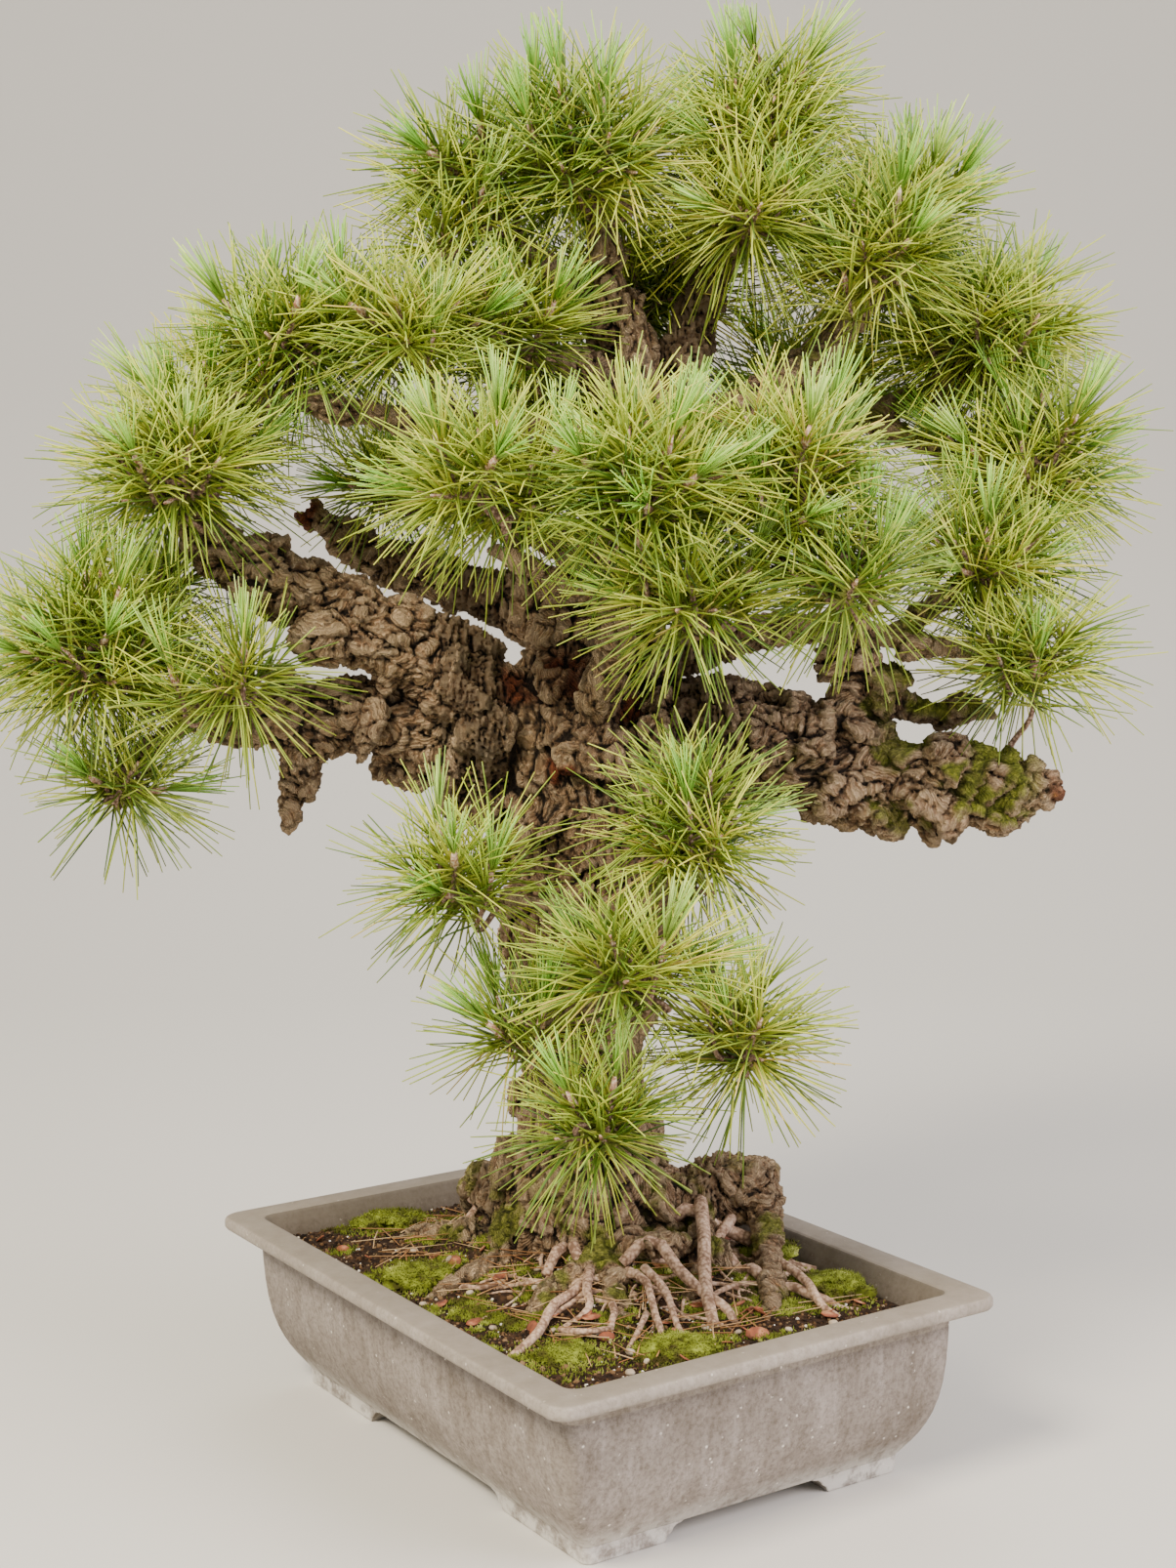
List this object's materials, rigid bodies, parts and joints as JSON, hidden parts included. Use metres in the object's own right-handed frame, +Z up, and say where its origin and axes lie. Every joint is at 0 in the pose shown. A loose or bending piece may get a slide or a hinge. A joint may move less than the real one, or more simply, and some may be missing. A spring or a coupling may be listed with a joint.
{
  "type": "bonsai tree in a pot",
  "caption": "Old pine bonsai with a thick corky trunk, long dead and living limbs and domed masses of needles, planted with moss in a rectangular footed clay pot.",
  "frame": {"origin": "on the ground under the middle of the whole plant's box", "axes": "+Z up, X along the pot's long side, -Y is the pot's long front; the tree is turned 57 degrees about +Z in the pot"},
  "size_m": [0.5746, 0.8386, 1.1242],
  "materials": {
    "pot_clay": "matte",
    "screen_plastic": "matte",
    "gravel": "matte",
    "soil": "matte",
    "bark": "matte",
    "needles": "satin",
    "moss": "matte"
  },
  "bodies": {
    "root": {"drain_screen_left": "screen_plastic", "drain_screen_right": "screen_plastic", "drainage_gravel": "gravel", "foliage_apex_centre": "needles", "foliage_apex_left": "needles", "foliage_apex_low_left": "needles", "foliage_apex_right": "needles", "foliage_apex_right_front": "needles", "foliage_back_centre": "needles", "foliage_back_crown": "needles", "foliage_back_left": "needles", "foliage_back_right": "needles", "foliage_centre": "needles", "foliage_centre_left": "needles", "foliage_centre_low": "needles", "foliage_centre_right": "needles", "foliage_centre_right_low": "needles", "foliage_left_inner": "needles", "foliage_left_low": "needles", "foliage_left_low_back": "needles", "foliage_left_low_front": "needles", "foliage_left_middle": "needles", "foliage_left_outer": "needles", "foliage_left_shoulder": "needles", "foliage_left_tail": "needles", "foliage_left_upper": "needles", "foliage_low_bottom": "needles", "foliage_low_centre": "needles", "foliage_low_left": "needles", "foliage_low_left_front": "needles", "foliage_low_right": "needles", "foliage_low_right_front": "needles", "foliage_right_inner": "needles", "foliage_right_low": "needles", "foliage_right_middle": "needles", "foliage_right_upper": "needles", "foliage_shoulder_back": "needles", "foliage_shoulder_right": "needles", "moss_1": "moss", "moss_2": "moss", "moss_3": "moss", "moss_4": "moss", "moss_5": "moss", "moss_6": "moss", "pot": "pot_clay", "pot_drain_left": "pot_clay", "pot_drain_right": "pot_clay", "pot_floor": "pot_clay", "pot_foot_back_left": "pot_clay", "pot_foot_back_right": "pot_clay", "pot_foot_front_left": "pot_clay", "pot_foot_front_right": "pot_clay", "soil": "soil", "tree": "bark"}
  },
  "joints": []
}
